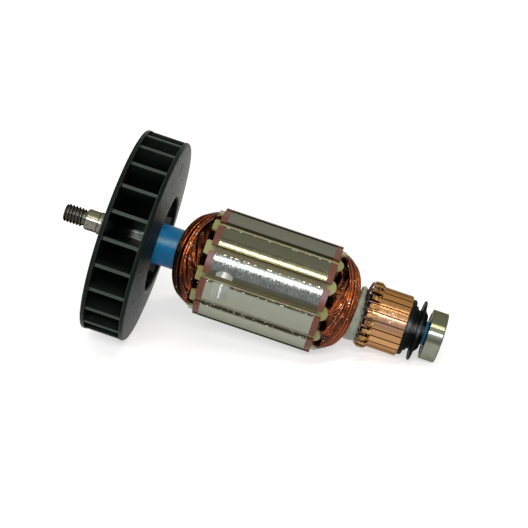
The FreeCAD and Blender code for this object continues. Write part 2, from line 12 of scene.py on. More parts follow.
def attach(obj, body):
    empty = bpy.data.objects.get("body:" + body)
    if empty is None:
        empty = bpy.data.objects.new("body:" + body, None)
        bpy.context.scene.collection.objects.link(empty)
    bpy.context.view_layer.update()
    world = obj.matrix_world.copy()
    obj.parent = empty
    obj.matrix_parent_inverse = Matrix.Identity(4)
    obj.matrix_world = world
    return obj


bl_info = {
    "name": "Motor armature",
    "version": (1, 0, 0),
    "blender": (4, 5, 0),
    "location": "3D View > Sidebar > Armature",
    "description": "Dresses a motor armature with its finishes, its wire strands and a studio",
    "category": "Object",
}

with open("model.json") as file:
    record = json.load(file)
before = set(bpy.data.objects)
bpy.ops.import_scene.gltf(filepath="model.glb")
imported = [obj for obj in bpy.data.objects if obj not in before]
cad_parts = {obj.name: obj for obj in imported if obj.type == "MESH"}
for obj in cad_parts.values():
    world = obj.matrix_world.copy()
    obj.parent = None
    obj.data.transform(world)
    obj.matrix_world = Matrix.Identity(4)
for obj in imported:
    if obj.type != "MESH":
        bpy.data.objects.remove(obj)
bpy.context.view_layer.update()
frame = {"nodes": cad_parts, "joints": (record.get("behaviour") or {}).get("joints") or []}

# Shaft line, taken from the bearing's joint. Local places are in millimetres, with the height
# along the shaft from its threaded tip.
BEARING_HEIGHT = 145.2
bearing = frame["joints"][0]
shaft_way = Vector(bearing["axis"]).normalized()
tip_place = Vector(bearing["pos_m"]) - shaft_way * BEARING_HEIGHT / 1000
tilt = math.atan2(-shaft_way.z, shaft_way.x)
LAY_ANGLE = math.pi / 2 + tilt
LAY = Matrix.LocRotScale(tip_place, Matrix.Rotation(LAY_ANGLE, 3, "Y"), Vector((0.001,) * 3))

# Turn about the shaft line of what is at the top in the photograph, in degrees
TOP_TURN = 147.3

# Sizes of the core, its winding and the commutator, the same as in the solids
SLOT_PITCH = 30.0
SLOT_PHASE = 13.3
COIL_SPAN = 5
ORDERS = 6
PLATE_FACES = (57.5, 103.3)
CUT_MIDDLE = 65.65
CUT_HALF = 3.4
CUT_RADII = (20.66, 20.76)
CROWNS = (12.3, 11.2)
CROWN_FIRST = 3.4
RISER = 3.0
DOME_BULGE = 0.12
SHELL_BASES = (12.35, 18.3)
SHELL_INNER = 8.2
BAND_WIDTH = 5.99
BAND_MIDDLE = 11.1
LEG_LAYERS = ((12.25, 15.95), (15.95, 18.4))
SPAN_HALF = math.radians(COIL_SPAN * SLOT_PITCH / 2)
BARS = 24
BAR_PHASE = 0.72

# Stretches of height or radius in millimetres, each with the limits of its two soft ends
SEAT = ((8.0, 9.0), (14.0, 15.0))
KNURL = ((27.0, 28.0), (36.0, 37.0))
VANES = ((22.2, 22.5), (35.2, 35.5))
EYE_LIP = ((18.6, 19.0), (19.4, 19.8))
UNDER_VARNISH = ((46.6, 47.6), (119.5, 120.5))
IN_SLOTS = ((57.4, 59.9), (101.0, 103.4))
BRUSH_TRACK = ((126.8, 127.8), (130.0, 131.0))

# Soft steps of height or radius in millimetres
# The shaft grows duller from this step on, and darker as painted shade where it is seen inside the
# fan
DULL_SHADED_STEEL = (13.3, 15.0)
FAN_RIM = (38.3, 38.6)
VANE_LENGTH = (31.0, 38.0)
SHROUD = (35.5, 37.0)
SHROUD_BACK = (36.8, 37.2)
EYE_FACE = (37.5, 38.0)
DRIVE_END = (46.8, 49.0)
DRIVE_HEAD = (51.0, 54.0)
FAR_HEAD = (101.0, 103.0)
NECK = (100.0, 114.0)
HOOKS = (122.1, 122.8)
HOOK_ROOTS = (122.2, 123.2)
BEHIND_RING = (134.0, 136.0)
RACE_CORNER = (2.6, 2.75)
RACE_RADII = (8.9, 9.0)

# Ragged line in the balancing cut, its step and how far the bright part fades, in millimetres
CUT_LINE, CUT_STEP, CUT_FADE = 0.8, 0.4, (1.2, 3.0)

# Varnish and glints beside a slot, in shares of the slots' pitch
SLOT_NEAR, SLOT_LIP = (0.12, 0.19), (0.125, 0.145)

# Stretches of turn in the photograph, as middle, half and softness in degrees. POLE is without
# its middle, because the poles repeat.
POLE = (14, 2)
# SEAT_SHADE, CORE_DIM, COPPER_DIM and RACE_DIM place painted shade. SEAT_GLEAM, CORE_SHEEN,
# CUT_UPPER, PLATE_GLEAM, BLUE_GLEAM, BLACK_GLEAM and WIRE_LIT place painted highlights. WIRE_LOW
# and WIRE_INNER place darker wire.
SEAT_SHADE = (45, 18, 8)
SEAT_GLEAM = (88, 3, 4)
CORE_DIM = ((65.2, 2.6, 1.2), (73.2, 1.7, 0.8), (79.7, 3, 1.5))
CORE_SHEEN = (85, 2, 2)
CORE_SPILL = (105, 6.5, 0.8)
CUT_TURN = (110.5, 16, 0.5)
CUT_UPPER = (96, 10, 1)
PLATE_GLEAM = (87, 6, 5)
BLUE_GLEAM = (80, 5, 9)
BLACK_GLEAM = (86, 8, 12)
WIRE_LOW = (150, 30, 10)
WIRE_INNER = (135, 55, 10)
WIRE_LIT = (82, 20, 14)
COPPER_DIM = ((67, 9, 3), (107, 4, 3))
RACE_DIM = ((100, 6, 5), (80, 2.2, 1))

# Tints of a metal's reflection at a glancing angle
DARK_EDGE = (0.04, 0.04, 0.035, 1.0)
SOFT_EDGE = (0.5, 0.5, 0.45, 1.0)

# A wire's path over a head, in millimetres, shares of a width or radians
PATH_POINTS = 11
PHASES, SWINGS = 6.28, (0.6, 1.0)
SWAY_RATE, RISE_RATE, RISE_SHARE = 2.6, 3.1, 0.4
LEG_TOP, LEG_END, LEG_MARGIN, LEG_SPREAD = 0.9, -1.0, 0.5, 1.3
SINK, SECOND_SINK = 0.22, 0.2
BUNDLE_SHARE, JITTER = 0.93, 0.05
SIDE_SHARE, SIDE_LIFT, SIDE_WANDER = 1.02, -0.55, 0.05
STRAY_START, STRAY_SLANT, STRAY_LIMIT = 0.7, 0.9, 0.75
STRAY_SINK, STRAY_RISE = 0.3, 0.6

# The resin's low side: its turn in the photograph, its share of the ring and how it is drawn out
LOW_TURN = 168
LOW_SHARE = 0.86
LOW_STRETCH = 3.0
LOW_SHIFT = -0.0006
LUMP_SIZE = 0.0022

# Dark rings inside the heads, as painted shade where the innermost wires lie in shadow: their
# names and heights, and their share of a round shape
SHADE_FILLS = (("varnish_drive", 55.8), ("varnish_far", 105.0))
FILL_FLATNESS = 0.6

# Stage in metres, with each lamp's place, size and colour, and the camera's frame in millimetres
FLOOR_SIZE = 6.0
FLOOR_GLOW = 0.55
LAMP_AIM = (0, 0, 0.03)
LAMPS = (
    ("key", (0.136, -0.72, 0.70), (0.7, 0.07), (1.0, 1.0, 1.0)),
    ("high", (0.203, -0.296, 0.96), (0.7, 0.05), (1.0, 0.93, 0.72)),
    ("side", (-0.8, -0.25, 0.35), (0.3, 0.5), (1.0, 1.0, 1.0)),
)
SENSOR_WIDTH = 36.0
NEAREST = 0.01


# Settings


def tint(code):
    """Linear colour from six hexadecimal digits."""
    parts = [int(code[i:i + 2], 16) / 255 for i in (0, 2, 4)]
    linear = [p / 12.92 if p <= 0.04045 else ((p + 0.055) / 1.055) ** 2.4 for p in parts]
    return (*linear, 1.0)


def number(name, description, default):
    return FloatProperty(name=name, description=description, default=default)


def colour(name, description, code):
    return FloatVectorProperty(
        name=name, description=description, default=tint(code)[:3], subtype="COLOR",
        min=0.0, max=1.0)


class ViewSettings(PropertyGroup):
    azimuth: FloatProperty(
        name="Azimuth", description="Turn of the camera towards the bearing end",
        default=math.radians(11.8), subtype="ANGLE", unit="ROTATION")
    elevation: FloatProperty(
        name="Elevation", description="Height of the camera above the ground as an angle",
        default=math.radians(30.75), subtype="ANGLE", unit="ROTATION")
    distance: FloatProperty(
        name="Distance", description="From the camera to the point that it aims at",
        default=0.56, unit="LENGTH")
    aim: FloatVectorProperty(
        name="Aim", description="Point that the camera looks at",
        default=(0.0028, 0.0042, 0.0306), subtype="XYZ", unit="LENGTH")
    focal_length: number("Focal length", "Focal length in millimetres on a 36 mm frame", 101.9)


class WindingSettings(PropertyGroup):
    wire: number("Wire", "Diameter of the enamelled wire in millimetres", 0.56)
    strands: IntProperty(
        name="Strands", description="Wires that lie side by side on a head", default=9)
    strays: IntProperty(
        name="Strays", description="Wires that cross over each head", default=12)
    wander: number("Wander", "How far a wire strays to its side in millimetres", 0.26)
    crown: number("Crown", "How far the middle of a bundle stands above its sides", 0.55)
    foot_width: number("Foot width", "Width of a head where it enters its slots", 3.0)
    seed: IntProperty(name="Seed", description="Choice of the wires' wander", default=4)


class ResinSettings(PropertyGroup):
    ring_radius: number("Ring radius", "Middle radius of the resin ring in millimetres", 8.35)
    ring_thickness: number("Ring thickness", "Thickness of the resin ring in millimetres", 2.3)
    lump: number("Lump", "How far the resin has run down at the lower side", 2.2)
    height: number("Height", "Place along the shaft in millimetres", 115.6)
    # The fill is the dark ring of painted shade inside each head
    fill_radius: number(
        "Fill radius", "Middle radius of the shade fill inside a head in millimetres", 9.2)
    fill_thickness: number(
        "Fill thickness", "Width of the shade fill inside a head in millimetres", 5.8)


class FinishSettings(PropertyGroup):
    shaft: colour("Shaft", "Turned steel of the shaft", "74726a")
    core: colour("Core", "Ground edges of the laminations", "86897d")
    varnish: colour("Varnish", "Yellowed varnish on the core and in its slots", "57542e")
    insulation: colour("Insulation", "Blue moulding on the shaft", "006fa4")
    fan: colour("Fan", "Black moulding of the fan", "161e1b")
    fibre: colour("Fibre", "Red fibre plates at the ends of the core", "66382a")
    wedge: colour("Wedges", "Pale fibre of the slot wedges", "8c8b55")
    wire: colour("Wire", "Enamelled wire of the winding", "9a4a1c")
    copper: colour("Copper", "Turned copper of the commutator", "b98a60")
    rubber: colour("Rubber", "Black rubber and black moulding", "090d0b")
    resin: colour("Resin", "Pale resin and tape at the neck", "8b9184")
    bearing: colour("Bearing", "Ground steel of the bearing", "7a7d70")


class LightSettings(PropertyGroup):
    key: number("Key", "Power of the lamp above the camera", 3.6)
    high: number("High", "Power of the warm lamp above", 2.5)
    side: number("Side", "Power of the lamp at the left", 1.5)
    world: number("World", "Strength of the surroundings", 0.42)


# Shader nodes


def put(tree, kind, inputs=None, **settings):
    """A shader node with its settings, and its inputs as values or as other nodes' outputs."""
    made = tree.nodes.new("ShaderNode" + kind)
    for name, value in settings.items():
        setattr(made, name, value)
    for key, value in (inputs or {}).items():
        if isinstance(value, bpy.types.NodeSocket):
            tree.links.new(value, made.inputs[key])
        else:
            made.inputs[key].default_value = value
    return made


def maths(tree, operation, *values):
    inputs = dict(enumerate(values))
    return put(tree, "Math", inputs, operation=operation).outputs[0]


def ramp(tree, value, low, high, first=0.0, last=1.0):
    """Smooth step of a value between two limits."""
    inputs = {"Value": value, "From Min": low, "From Max": high, "To Min": first, "To Max": last}
    return put(tree, "MapRange", inputs, interpolation_type="SMOOTHSTEP").outputs[0]


def group_tree(name, inputs, outputs=(("Mask", "Float"),)):
    """Node group, what comes into it and what goes out. An input with no default is a place."""
    tree = bpy.data.node_groups.new(name, "ShaderNodeTree")
    for label, default in inputs.items():
        kind = "NodeSocketVector" if default is None else "NodeSocketFloat"
        socket = tree.interface.new_socket(name=label, in_out="INPUT", socket_type=kind)
        if default is not None:
            socket.default_value = default
    for label, kind in outputs:
        tree.interface.new_socket(name=label, in_out="OUTPUT", socket_type="NodeSocket" + kind)
    enter, leave = tree.nodes.new("NodeGroupInput"), tree.nodes.new("NodeGroupOutput")
    return tree, enter.outputs, leave.inputs


def shaft_place_group():
    """Place in millimetres about the shaft line, with its height and its turn."""
    outputs = (("Place", "Vector"), ("Height", "Float"), ("Turn", "Float"), ("Radius", "Float"))
    tree, _, leave = group_tree("Place on the shaft", {}, outputs)
    inputs = {
        "Vector": put(tree, "TexCoord").outputs["Object"],
        "Location": tip_place,
        "Rotation": (0.0, LAY_ANGLE, 0.0),
        "Scale": (0.001, 0.001, 0.001),
    }
    place = put(tree, "Mapping", inputs, vector_type="TEXTURE").outputs[0]
    parts = put(tree, "SeparateXYZ", {0: place}).outputs
    turn = maths(tree, "ARCTAN2", parts["Y"], parts["X"])
    turn = maths(tree, "DIVIDE", turn, 2 * math.pi)
    flat = put(tree, "CombineXYZ", {"X": parts["X"], "Y": parts["Y"]}).outputs[0]
    radius = put(tree, "VectorMath", {0: flat}, operation="LENGTH").outputs["Value"]
    tree.links.new(place, leave["Place"])
    tree.links.new(parts["Z"], leave["Height"])
    tree.links.new(maths(tree, "FRACT", turn), leave["Turn"])
    tree.links.new(radius, leave["Radius"])
    return tree


def mottle_group():
    """Blotches: cloudy noise between two limits."""
    inputs = {"Place": None, "Scale": 0.3, "Low": 0.4, "High": 0.6}
    tree, enter, leave = group_tree("Mottle", inputs)
    inputs = {"Vector": enter["Place"], "Scale": enter["Scale"], "Detail": 5.0, "Roughness": 0.6}
    noise = put(tree, "TexNoise", inputs).outputs[0]
    tree.links.new(ramp(tree, noise, enter["Low"], enter["High"]), leave["Mask"])
    return tree


def flecks_group():
    """Small separate specks in a share of the cells."""
    inputs = {"Place": None, "Scale": 1.0, "Size": 0.2, "Share": 0.2}
    tree, enter, leave = group_tree("Flecks", inputs)
    inputs = {"Vector": enter["Place"], "Scale": enter["Scale"]}
    cells = put(tree, "TexVoronoi", inputs).outputs
    pick = put(tree, "SeparateXYZ", {0: cells["Color"]}).outputs["X"]
    picked = maths(tree, "LESS_THAN", pick, enter["Share"])
    near = maths(tree, "LESS_THAN", cells["Distance"], enter["Size"])
    tree.links.new(maths(tree, "MULTIPLY", picked, near), leave["Mask"])
    return tree


def edge_group():
    """Mask of the outer edges, found from how a rounded normal leaves the face's own."""
    tree, enter, leave = group_tree("Edges", {"Low": 0.02, "High": 0.2})
    soft = put(tree, "Bevel", {"Radius": 0.0004}, samples=4).outputs[0]
    hard = put(tree, "NewGeometry").outputs["Normal"]
    dot = put(tree, "VectorMath", {0: soft, 1: hard}, operation="DOT_PRODUCT").outputs["Value"]
    away = maths(tree, "SUBTRACT", 1.0, dot)
    tree.links.new(ramp(tree, away, enter["Low"], enter["High"]), leave["Mask"])
    return tree


def marks_group():
    """Fine lines left round the shaft by turning or by the edges of sheets."""
    inputs = {"Height": 0.0, "Pitch": 0.2}
    tree, enter, leave = group_tree("Lines round the shaft", inputs, (("Value", "Float"),))
    count = maths(tree, "DIVIDE", enter["Height"], enter["Pitch"])
    noise = put(tree, "TexNoise", {"W": count, "Scale": 1.0, "Detail": 3.0}, noise_dimensions="1D")
    tree.links.new(noise.outputs[0], leave["Value"])
    return tree


def hollows_group():
    """Mask of narrow gaps, where light is scarce; the finishes lay painted shade there."""
    tree, enter, leave = group_tree("Hollows", {"Reach": 0.001, "Low": 0.3, "High": 0.9})
    open_share = put(tree, "AmbientOcclusion", {"Distance": enter["Reach"]}, samples=6)
    open_share = open_share.outputs["AO"]
    mask = ramp(tree, open_share, enter["Low"], enter["High"], 1.0, 0.0)
    tree.links.new(mask, leave["Mask"])
    return tree


def sector_group():
    """Mask of a stretch of turn about the shaft, with soft ends. Places are shares of a turn."""
    inputs = {"Turn": 0.0, "Middle": 0.5, "Half": 0.1, "Soft": 0.02}
    tree, enter, leave = group_tree("Sector", inputs)
    away = maths(tree, "SUBTRACT", enter["Turn"], enter["Middle"])
    away = maths(tree, "PINGPONG", away, 0.5)
    inner = maths(tree, "SUBTRACT", enter["Half"], enter["Soft"])
    outer = maths(tree, "ADD", enter["Half"], enter["Soft"])
    tree.links.new(ramp(tree, away, inner, outer, 1.0, 0.0), leave["Mask"])
    return tree


GROUPS = {}


def build_groups():
    """Makes each shared group once, for the finishes to place."""
    makers = {
        "place": shaft_place_group, "mottle": mottle_group, "flecks": flecks_group,
        "edges": edge_group, "marks": marks_group, "hollows": hollows_group,
        "sector": sector_group,
    }
    for name, maker in makers.items():
        GROUPS[name] = maker()


def use(tree, name, inputs=None):
    return put(tree, "Group", inputs, node_tree=GROUPS[name]).outputs


def shade(colour, factor):
    """A finish's colour made darker or lighter."""
    return (*[min(1.0, part * factor) for part in colour[:3]], 1.0)


def blend(first, second, share):
    """A colour between two others."""
    return (*[a + (b - a) * share for a, b in zip(first[:3], second[:3])], 1.0)


def chosen(name):
    """A colour from the finish settings."""
    return (*getattr(bpy.context.scene.armature_finish, name), 1.0)


def new_material(name, **values):
    """Material, its node tree and its shader's sockets, on which the plain values are set."""
    made = bpy.data.materials.new(name)
    made.use_nodes = True
    sockets = made.node_tree.nodes["Principled BSDF"].inputs
    for key, value in values.items():
        sockets[key.replace("_", " ").title().replace("Ior", "IOR")].default_value = value
    return made, made.node_tree, sockets


class Paint:
    """Material in the making: its nodes, its place on the shaft and its colour in layers.

    Heights, radii and the pitch of marks are in millimetres and turns in degrees. The reach of
    hollows and the depth of relief are in metres.
    """

    def __init__(self, name, **values):
        self.material, self.tree, self.sockets = new_material(name, **values)
        self.colour = None
        here = use(self.tree, "place")
        self.place, self.height = here["Place"], here["Height"]
        self.turn, self.radius = here["Turn"], here["Radius"]

    def maths(self, operation, *values):
        return maths(self.tree, operation, *values)

    def times(self, first, *others):
        for other in others:
            first = self.maths("MULTIPLY", first, other)
        return first

    def most(self, first, *others):
        for other in others:
            first = self.maths("MAXIMUM", first, other)
        return first

    def ramp(self, value, low, high, first=0.0, last=1.0):
        return ramp(self.tree, value, low, high, first, last)

    def fall(self, value, low, high):
        return self.ramp(value, low, high, 1.0, 0.0)

    def spread(self, mask, low, high):
        return self.ramp(mask, 0.0, 1.0, low, high)

    def within(self, value, rise, fall):
        """Mask of a stretch, from the limits of its two soft ends."""
        return self.times(self.ramp(value, *rise), self.fall(value, *fall))

    def group(self, name, *values):
        return use(self.tree, name, dict(enumerate(values)))[0]

    def mottle(self, scale, low, high):
        return self.group("mottle", self.place, scale, low, high)

    def flecks(self, scale, size, share):
        return self.group("flecks", self.place, scale, size, share)

    def marks(self, pitch):
        return self.group("marks", self.height, pitch)

    def edges(self):
        return self.group("edges", 0.03, 0.25)

    def hollows(self, reach, low, high):
        return self.group("hollows", reach, low, high)

    def sector(self, middle, half, soft, turn=None):
        """Mask about the shaft, in degrees from the turn at which the photograph's top lies."""
        share = ((middle + TOP_TURN) % 360) / 360
        turn = self.turn if turn is None else turn
        return self.group("sector", turn, share, half / 360, soft / 360)

    def sectors(self, places):
        return self.most(*[self.sector(*place) for place in places])

    def noise(self, scale, detail=3.0, place=None):
        place = self.place if place is None else place
        inputs = {"Vector": place, "Scale": scale, "Detail": detail}
        return put(self.tree, "TexNoise", inputs).outputs[0]

    def stretched(self, *scales):
        """Place with its axes scaled one by one, for strokes and streaks."""
        return put(self.tree, "Mapping", {"Vector": self.place, "Scale": scales}).outputs[0]

    def ragged(self, value, scale, reach):
        """A value made uneven by noise."""
        return self.maths("ADD", value, self.times(self.noise(scale), reach))

    def mixed(self, mask, first, second):
        """Mix of two colours, each given as digits, as parts or as a node's output."""
        first, second = [tint(c) if isinstance(c, str) else c for c in (first, second)]
        inputs = {0: mask, 6: first, 7: second}
        return put(self.tree, "Mix", inputs, data_type="RGBA").outputs[2]

    def start(self, mask, colour, first, second):
        """Begins with a mix of two shades of a colour."""
        self.colour = self.mixed(mask, shade(colour, first), shade(colour, second))

    def lay(self, mask, colour, share=1.0):
        """Lays a share of a colour over what is there, where the mask lets it."""
        if share != 1.0:
            mask = self.times(mask, share)
        self.colour = self.mixed(mask, self.colour, colour)

    def bands(self, *bands):
        """Lays bands along the shaft, each with its stretch of turn, its colour and its share."""
        for place, colour, share in bands:
            self.lay(self.sector(*place), colour, share)

    def bump(self, height, depth, strength, normal=None):
        inputs = {"Height": height, "Distance": depth, "Strength": strength}
        if normal is not None:
            inputs["Normal"] = normal
        return put(self.tree, "Bump", inputs).outputs[0]

    def done(self, rough, normal):
        values = {"Base Color": self.colour, "Roughness": rough, "Normal": normal}
        for label, value in values.items():
            self.tree.links.new(value, self.sockets[label])
        return self.material


# Finishes


def turned_steel():
    p = Paint("Turned steel", metallic=1.0, specular_tint=DARK_EDGE)
    steel = chosen("shaft")
    stain = p.mottle(0.45, 0.5, 0.68)
    lines = p.marks(0.18)
    p.start(lines, steel, 0.75, 1.25)
    p.colour = p.mixed(p.ramp(p.height, *SEAT[0]), shade(steel, 0.45), p.colour)
    # Painted shade: the shaft is darker from the seat on, where it is seen inside the fan
    p.lay(p.ramp(p.height, *DULL_SHADED_STEEL), "6f6a5f", 0.55)
    p.lay(p.within(p.height, *KNURL), "a9b4b6", 0.8)
    p.lay(stain, "4d4f3e", 0.55)
    seat = p.within(p.height, *SEAT)
    # Painted shade and a painted highlight in bands round the seat
    p.lay(p.times(seat, p.sector(*SEAT_SHADE)), "62643f", 0.6)
    p.lay(p.times(seat, p.sector(*SEAT_GLEAM)), "e9ebe2", 0.6)
    # Painted shade in the thread's grooves and in narrow gaps
    p.lay(p.hollows(0.0008, 0.35, 0.8), "1d1a16")
    rough = p.most(p.spread(stain, 0.22, 0.5), p.ramp(p.height, *DULL_SHADED_STEEL, 0.0, 0.5))
    return p.done(rough, p.bump(lines, 0.00002, 0.5))


def milled_flat(p):
    """Flat of the balancing cut, bright with a painted highlight on its ragged middle line and on
    its upper part.
    """
    mask = p.times(p.fall(p.radius, *CUT_RADII), p.sector(*CUT_TURN),
                   p.ramp(p.maths("COMPARE", p.height, CUT_MIDDLE, CUT_HALF), 0.0, 1.0))
    ragged = p.ragged(p.height, 1.1, 1.6)
    line = p.maths("ABSOLUTE", p.maths("SUBTRACT", ragged, CUT_MIDDLE + CUT_LINE))
    fade = p.fall(ragged, CUT_MIDDLE - CUT_FADE[0], CUT_MIDDLE + CUT_FADE[1])
    step = p.ramp(ragged, CUT_MIDDLE - CUT_STEP, CUT_MIDDLE + CUT_STEP)
    upper = p.times(fade, p.sector(*CUT_UPPER), step)
    # Painted highlight on the cut's line and its upper part
    cut_highlight = p.most(p.times(p.fall(line, 0.0, 0.5), 0.7), upper)
    p.lay(mask, p.mixed(cut_highlight, "888b85", "f0f1ec"))


def ground_laminations():
    """Ground poles with yellowed varnish near the slots and fine lines from the sheets. The bands
    of tone round the poles are painted reflection and shade, partly varnish on the upper poles,
    with painted highlights and glints.
    """
    p = Paint("Ground sheet edges", metallic=0.95, specular_tint=SOFT_EDGE, coat_weight=0.1,
              coat_roughness=0.1)
    steel, varnish = chosen("core"), chosen("varnish")
    olive = blend(steel, varnish, 0.6)
    sheets = p.marks(0.35)
    strokes = p.ramp(p.noise(1.0, 2.0, p.stretched(0.9, 0.9, 2.6)), 0.36, 0.64)
    p.start(sheets, steel, 0.9, 1.08)
    p.lay(p.mottle(0.1, 0.35, 0.7), shade(steel, 0.8), 0.3)
    # Painted shade: darker bands on the three upper poles, the first two olive partly from varnish
    p.bands(((31, *POLE), shade(olive, 0.66), 0.65), ((61, *POLE), shade(olive, 0.66), 1.0),
            ((91, *POLE), "4d504b", 0.85))
    # Painted highlight: pale streaks in the lamp's reflection on the third pole
    p.lay(p.times(p.sector(91, *POLE), strokes), "8b9094", 0.45)
    # Painted reflection of the floor on the lowest pole, and a painted highlight line on the
    # second
    p.bands(((151, *POLE), shade(steel, 1.2), 0.8), ((69, 1.2, 0.8), "f0e8c4", 0.6))
    # Painted shade that narrows the lamps' reflections
    p.lay(p.sectors(CORE_DIM), "2e2f28", 0.6)
    # Painted highlight streaks where the key lamp reflects
    p.lay(p.sector(*CORE_SHEEN), "dfe6f0", p.spread(strokes, 0.0, 0.25))
    p.lay(p.sector(*CORE_SPILL, p.ragged(p.turn, 0.5, 0.006)), "4a4a39", 0.9)
    p.lay(p.mottle(0.22, 0.45, 0.72), olive, 0.15)
    poles = p.maths("SUBTRACT", p.times(p.turn, 360 / SLOT_PITCH), SLOT_PHASE / SLOT_PITCH)
    p.lay(p.fall(p.maths("PINGPONG", poles, 0.5), *SLOT_NEAR), shade(varnish, 0.6), 0.5)
    lip = p.fall(p.maths("FRACT", poles), *SLOT_LIP)
    # Painted glints: highlights along the lips of the slots
    p.lay(p.times(p.flecks(0.9, 0.4, 0.45), lip), "f0f0e4")
    milled_flat(p)
    normal = p.bump(p.noise(1.2), 0.00004, 0.25, p.bump(sheets, 0.00005, 0.8))
    return p.done(p.spread(strokes, 0.1, 0.19), normal)


def blue_moulding():
    """Blue moulding with a painted highlight band, stained brown by varnish under the winding and
    at the neck.
    """
    p = Paint("Blue moulding", specular_ior_level=0.15, coat_weight=0.2, coat_roughness=0.33)
    blue = chosen("insulation")
    cloud = p.mottle(0.25, 0.3, 0.7)
    p.start(cloud, blue, 0.8, 1.1)
    # Painted highlight: a blotchy pale band where the lamps reflect
    p.lay(p.times(p.sector(*BLUE_GLEAM), p.mottle(0.4, 0.25, 0.6)), "9fcbd8", 0.7)
    p.lay(p.flecks(1.4, 0.1, 0.08), "9fb8c4")
    p.lay(p.ramp(p.height, *BEHIND_RING), shade(blue, 0.85))
    stain = p.mixed(p.ramp(p.height, *NECK), "1c0f0a", "3a2327")
    p.lay(p.within(p.ragged(p.height, 0.6, 1.6), *UNDER_VARNISH), stain)
    return p.done(p.spread(cloud, 0.34, 0.46), p.bump(p.noise(3.0), 0.00003, 0.4))


def fan_plastic():
    """Black moulding with dust, greyer on its edges partly from wear and partly as painted
    highlight, with painted highlights on its rim and the lip of its eye, and painted shade on the
    shroud and inside.
    """
    p = Paint("Black fan plastic", specular_ior_level=0.03)
    black = chosen("fan")
    dust = p.mottle(0.5, 0.5, 0.75)
    p.start(p.mottle(0.08, 0.35, 0.7), black, 0.8, 1.25)
    p.lay(dust, "2c332f", 0.2)
    # Greyer edges: partly wear, partly painted highlight
    p.lay(p.edges(), "505850", 0.7)
    p.lay(p.flecks(0.9, 0.12, 0.04), "60655c")
    # Painted highlight on the vanes' outer edges at the rim
    p.lay(p.times(p.within(p.height, *VANES), p.ramp(p.radius, *FAN_RIM)), "66706c", 0.38)
    # Painted shade on the shroud's face, and deeper painted shade inside, between the vanes
    p.lay(p.ramp(p.height, *SHROUD, 0.0, 0.6), shade(black, 0.5))
    inner = p.times(p.ramp(p.radius, *VANE_LENGTH, 0.85, 0.0), p.fall(p.height, *SHROUD_BACK))
    p.lay(inner, shade(black, 0.25))
    # Painted highlight on the lip of the eye
    p.lay(p.times(p.within(p.radius, *EYE_LIP), p.ramp(p.height, *EYE_FACE)), "8a908a", 0.5)
    # Painted shade in the hollows
    p.lay(p.hollows(0.006, 0.1, 0.9), shade(black, 0.6))
    return p.done(p.spread(dust, 0.34, 0.58), p.bump(p.noise(2.5, 4.0), 0.00006, 0.5))


def fibre_plate():
    p = Paint("Red fibre", specular_ior_level=0.3, coat_weight=0.1, coat_roughness=0.35)
    red = chosen("fibre")
    cloud = p.mottle(0.5, 0.35, 0.65)
    fibres = p.noise(1.2, 5.0, p.stretched(0.6, 0.6, 5.0))
    p.start(fibres, red, 0.8, 1.3)
    p.lay(cloud, shade(red, 1.05), 0.7)
    # Painted highlight: a pinkish sheen on the plates beside the lit pole
    p.lay(p.sector(*PLATE_GLEAM), "a88f98", 0.4)
    return p.done(p.spread(cloud, 0.45, 0.7), p.bump(fibres, 0.0001, 0.6))


def cloudy(name, first, second, scale, low, high, rough, strength, **constants):
    """Plain finish in two tints, whose clouds also change its gloss and its relief."""
    p = Paint(name, **constants)
    cloud = p.mottle(scale, low, high)
    p.colour = p.mixed(cloud, first, second)
    return p.done(p.spread(cloud, *rough), p.bump(cloud, 0.0001, strength))


def slot_paper():
    varnish = chosen("varnish")
    return cloudy("Varnished paper", shade(varnish, 0.8), shade(varnish, 1.4), 0.6, 0.35, 0.65,
                  (0.4, 0.65), 0.4, coat_weight=0.4, coat_roughness=0.25)


def wedge_fibre():
    """Pale fibre at the ends, stained by varnish along the slots, with painted highlight lines on
    the wedges of three slots.
    """
    p = Paint("Pale wedge fibre", specular_ior_level=0.3, coat_weight=0.25, coat_roughness=0.2)
    wedge, varnish = chosen("wedge"), chosen("varnish")
    cloud = p.mottle(0.4, 0.3, 0.7)
    pale = p.mixed(cloud, shade(wedge, 0.82), shade(wedge, 1.1))
    p.start(cloud, varnish, 0.7, 1.25)
    streaks = p.noise(1.0, place=p.stretched(2.0, 2.0, 0.12))
    p.lay(p.ramp(streaks, 0.5, 0.62), "6b3f22", 0.6)
    # Painted highlights: pale lines along the wedges in three slots
    p.bands(((136, 12, 2), "b0b19e", 0.8), ((42.3, 2, 0.8), "c8c6a8", 0.7),
            ((109.3, 1, 0.6), "c8c6b0", 0.7))
    p.colour = p.mixed(p.within(p.height, *IN_SLOTS), pale, p.colour)
    return p.done(p.spread(cloud, 0.28, 0.5), p.bump(p.noise(0.9), 0.0002, 0.6))


